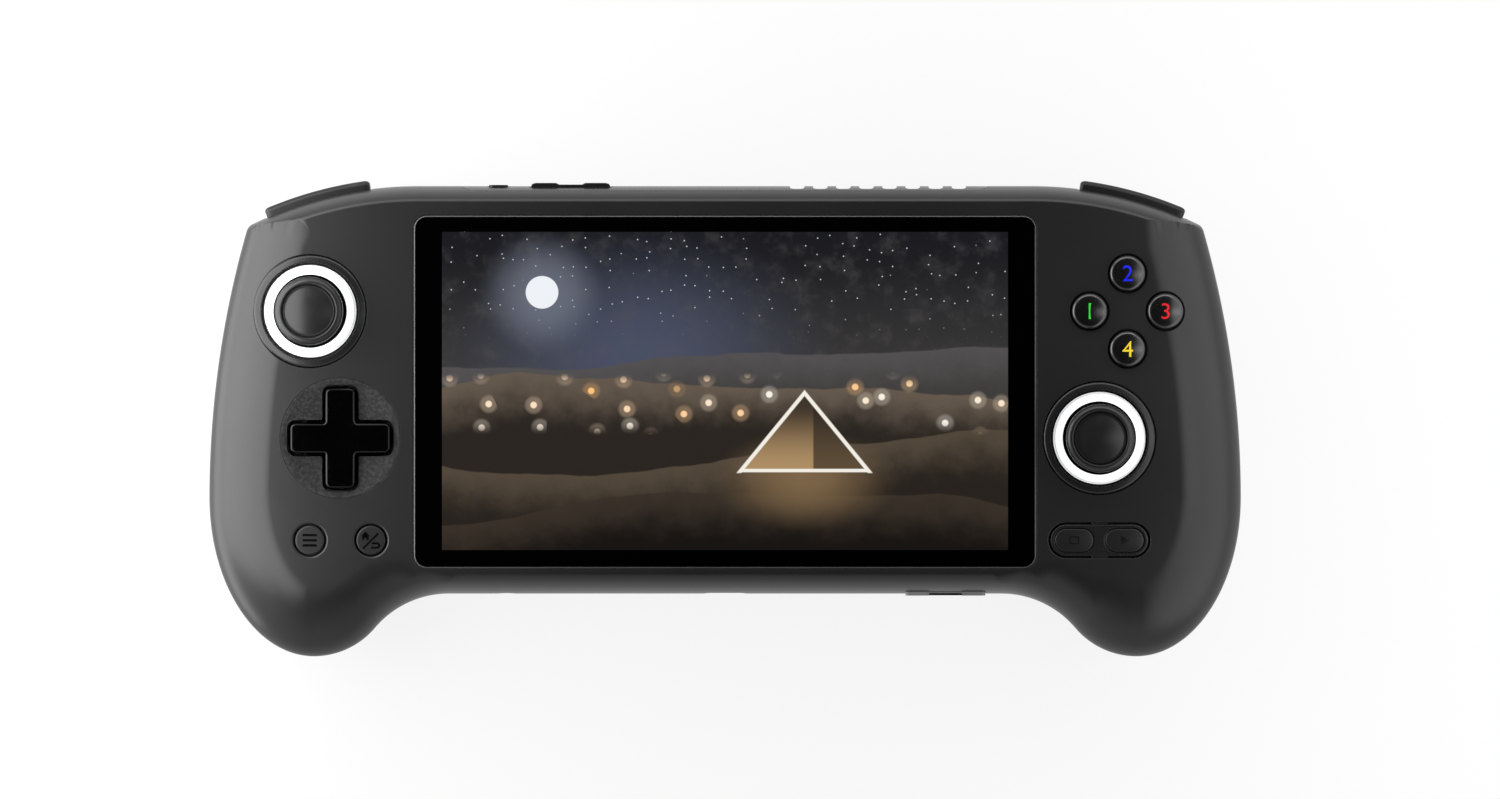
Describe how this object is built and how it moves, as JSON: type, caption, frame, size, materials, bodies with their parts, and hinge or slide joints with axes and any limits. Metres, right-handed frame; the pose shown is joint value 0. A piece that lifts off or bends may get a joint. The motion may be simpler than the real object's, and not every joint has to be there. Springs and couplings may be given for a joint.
{
  "type": "handheld game console",
  "caption": "Wide handheld game console with a landscape screen, curved rear grips, thumbsticks with light rings, D-pad, face buttons, bumpers and triggers.",
  "frame": {"origin": "centre of the bounding box in X and Y, on the plane the grips rest on", "axes": "console lying on its back: +X to the right of the screen, +Y to its top edge, +Z out of the screen"},
  "size_m": [0.222, 0.1023, 0.0365],
  "materials": {
    "shell": "fine matt texture",
    "trim": "matt",
    "dish": "grained",
    "trigger": "fine matt texture",
    "glass": "polished",
    "display": "polished",
    "frame_alloy": "cast",
    "board": "lacquered",
    "battery_wrap": "film",
    "fan_plastic": "moulded",
    "copper": "milled",
    "port_metal": "stamped",
    "dark_plastic": "moulded",
    "card_trim": "matt",
    "light_ring": "frosted, lit",
    "module_metal": "stamped",
    "membrane": "silicone",
    "steel": "drawn",
    "cap_rubber": "matt",
    "gloss_key": "polished",
    "small_key": "satin",
    "edge_key": "satin"
  },
  "bodies": {
    "chassis": {"front_shell": "shell", "rear_shell": "shell", "top_panel": "trim", "screen_glass": "glass", "display_panel": "display", "mid_frame": "frame_alloy", "main_board": "board", "battery": "battery_wrap", "fan_housing": "fan_plastic", "heat_sink": "copper", "speakers": "dark_plastic", "usb_c_port": "port_metal", "headphone_jack": "dark_plastic", "card_reader": "port_metal", "card_frame": "card_trim", "left_control_board": "board", "right_control_board": "board", "left_stick_bezel": "trim", "right_stick_bezel": "trim", "left_light_ring": "light_ring", "right_light_ring": "light_ring", "left_stick_module": "module_metal", "right_stick_module": "module_metal", "d_pad_dish": "dish", "d_pad_post": "dark_plastic", "d_pad_membrane": "membrane", "face_button_membrane": "membrane", "select_start_bezel": "trim", "volume_pin": "steel", "top_key_board": "board", "bumper_pins": "steel", "left_trigger_bracket": "dark_plastic", "right_trigger_bracket": "dark_plastic", "trigger_pins": "steel", "trigger_springs": "steel", "case_screws": "steel"},
    "fan_impeller": {"fan_impeller": "fan_plastic"},
    "left_stick_yoke": {"left_stick_yoke": "module_metal"},
    "left_stick_stem": {"left_stick_stem": "dark_plastic"},
    "left_stick_cap": {"left_stick_cap": "cap_rubber"},
    "right_stick_yoke": {"right_stick_yoke": "module_metal"},
    "right_stick_stem": {"right_stick_stem": "dark_plastic"},
    "right_stick_cap": {"right_stick_cap": "cap_rubber"},
    "d_pad_ball": {"d_pad_ball": "steel"},
    "d_pad": {"d_pad": "gloss_key"},
    "top_button": {"top_button": "gloss_key"},
    "right_button": {"right_button": "gloss_key"},
    "bottom_button": {"bottom_button": "gloss_key"},
    "left_button": {"left_button": "gloss_key"},
    "menu_button": {"menu_button": "small_key"},
    "home_button": {"home_button": "small_key"},
    "select_button": {"select_button": "small_key"},
    "start_button": {"start_button": "small_key"},
    "power_button": {"power_button": "edge_key"},
    "volume_rocker": {"volume_rocker": "edge_key"},
    "left_bumper": {"left_bumper": "trim"},
    "right_bumper": {"right_bumper": "trim"},
    "left_trigger": {"left_trigger": "trigger"},
    "right_trigger": {"right_trigger": "trigger"}
  },
  "joints": [
    {"name": "fan_spin", "type": "hinge", "parent": "chassis", "child": "fan_impeller", "pos_m": [0.0375, 0.02, 0.019], "axis": [0, 0, 1], "continuous": true},
    {"name": "left_stick_tilt_x", "type": "hinge", "parent": "chassis", "child": "left_stick_yoke", "pos_m": [-0.08895, 0.023, 0.0225], "axis": [1, 0, 0], "range_deg": [-15, 15], "stiffness_Nm_per_rad": 0.06},
    {"name": "left_stick_tilt_y", "type": "hinge", "parent": "left_stick_yoke", "child": "left_stick_stem", "pos_m": [-0.08895, 0.023, 0.0225], "axis": [0, 1, 0], "range_deg": [-15, 15], "stiffness_Nm_per_rad": 0.06},
    {"name": "left_stick_press", "type": "slide", "parent": "left_stick_stem", "child": "left_stick_cap", "axis": [0, 0, -1], "range_m": [0, 0.0004], "stiffness_N_per_m": 3000},
    {"name": "right_stick_tilt_x", "type": "hinge", "parent": "chassis", "child": "right_stick_yoke", "pos_m": [0.08025, -0.0042, 0.0225], "axis": [1, 0, 0], "range_deg": [-15, 15], "stiffness_Nm_per_rad": 0.06},
    {"name": "right_stick_tilt_y", "type": "hinge", "parent": "right_stick_yoke", "child": "right_stick_stem", "pos_m": [0.08025, -0.0042, 0.0225], "axis": [0, 1, 0], "range_deg": [-15, 15], "stiffness_Nm_per_rad": 0.06},
    {"name": "right_stick_press", "type": "slide", "parent": "right_stick_stem", "child": "right_stick_cap", "axis": [0, 0, -1], "range_m": [0, 0.0004], "stiffness_N_per_m": 3000},
    {"name": "d_pad_tilt_x", "type": "hinge", "parent": "chassis", "child": "d_pad_ball", "pos_m": [-0.08245, -0.0042, 0.0242], "axis": [1, 0, 0], "range_deg": [-4, 4], "stiffness_Nm_per_rad": 0.25},
    {"name": "d_pad_tilt_y", "type": "hinge", "parent": "d_pad_ball", "child": "d_pad", "pos_m": [-0.08245, -0.0042, 0.0242], "axis": [0, 1, 0], "range_deg": [-4, 4], "stiffness_Nm_per_rad": 0.25},
    {"name": "top_button_press", "type": "slide", "parent": "chassis", "child": "top_button", "axis": [0, 0, -1], "range_m": [0, 0.001], "stiffness_N_per_m": 600},
    {"name": "right_button_press", "type": "slide", "parent": "chassis", "child": "right_button", "axis": [0, 0, -1], "range_m": [0, 0.001], "stiffness_N_per_m": 600},
    {"name": "bottom_button_press", "type": "slide", "parent": "chassis", "child": "bottom_button", "axis": [0, 0, -1], "range_m": [0, 0.001], "stiffness_N_per_m": 600},
    {"name": "left_button_press", "type": "slide", "parent": "chassis", "child": "left_button", "axis": [0, 0, -1], "range_m": [0, 0.001], "stiffness_N_per_m": 600},
    {"name": "menu_button_press", "type": "slide", "parent": "chassis", "child": "menu_button", "axis": [0, 0, -1], "range_m": [0, 0.0006], "stiffness_N_per_m": 1200},
    {"name": "home_button_press", "type": "slide", "parent": "chassis", "child": "home_button", "axis": [0, 0, -1], "range_m": [0, 0.0006], "stiffness_N_per_m": 1200},
    {"name": "select_button_press", "type": "slide", "parent": "chassis", "child": "select_button", "axis": [0, 0, -1], "range_m": [0, 0.0006], "stiffness_N_per_m": 1200},
    {"name": "start_button_press", "type": "slide", "parent": "chassis", "child": "start_button", "axis": [0, 0, -1], "range_m": [0, 0.0006], "stiffness_N_per_m": 1200},
    {"name": "power_button_press", "type": "slide", "parent": "chassis", "child": "power_button", "axis": [0, -1, 0], "range_m": [0, 0.0004], "stiffness_N_per_m": 1500},
    {"name": "volume_rock", "type": "hinge", "parent": "chassis", "child": "volume_rocker", "pos_m": [-0.0332, 0.0464, 0.0218], "axis": [0, 0, 1], "range_deg": [-2.2, 2.2], "stiffness_Nm_per_rad": 0.09},
    {"name": "right_bumper_press", "type": "hinge", "parent": "chassis", "child": "right_bumper", "pos_m": [0.07225, 0.04565, 0.0198], "axis": [0, 0, -1], "range_deg": [0, 2.5], "stiffness_Nm_per_rad": 0.5},
    {"name": "left_bumper_press", "type": "hinge", "parent": "chassis", "child": "left_bumper", "pos_m": [-0.07225, 0.04565, 0.0198], "axis": [0, 0, 1], "range_deg": [0, 2.5], "stiffness_Nm_per_rad": 0.5},
    {"name": "right_trigger_pull", "type": "hinge", "parent": "chassis", "child": "right_trigger", "pos_m": [0.08542, 0.03899, 0.0174], "axis": [-0.9646, 0.2639, 0], "range_deg": [0, 14], "stiffness_Nm_per_rad": 0.09},
    {"name": "left_trigger_pull", "type": "hinge", "parent": "chassis", "child": "left_trigger", "pos_m": [-0.08542, 0.03899, 0.0174], "axis": [-0.9646, -0.2639, 0], "range_deg": [0, 14], "stiffness_Nm_per_rad": 0.09}
  ]
}
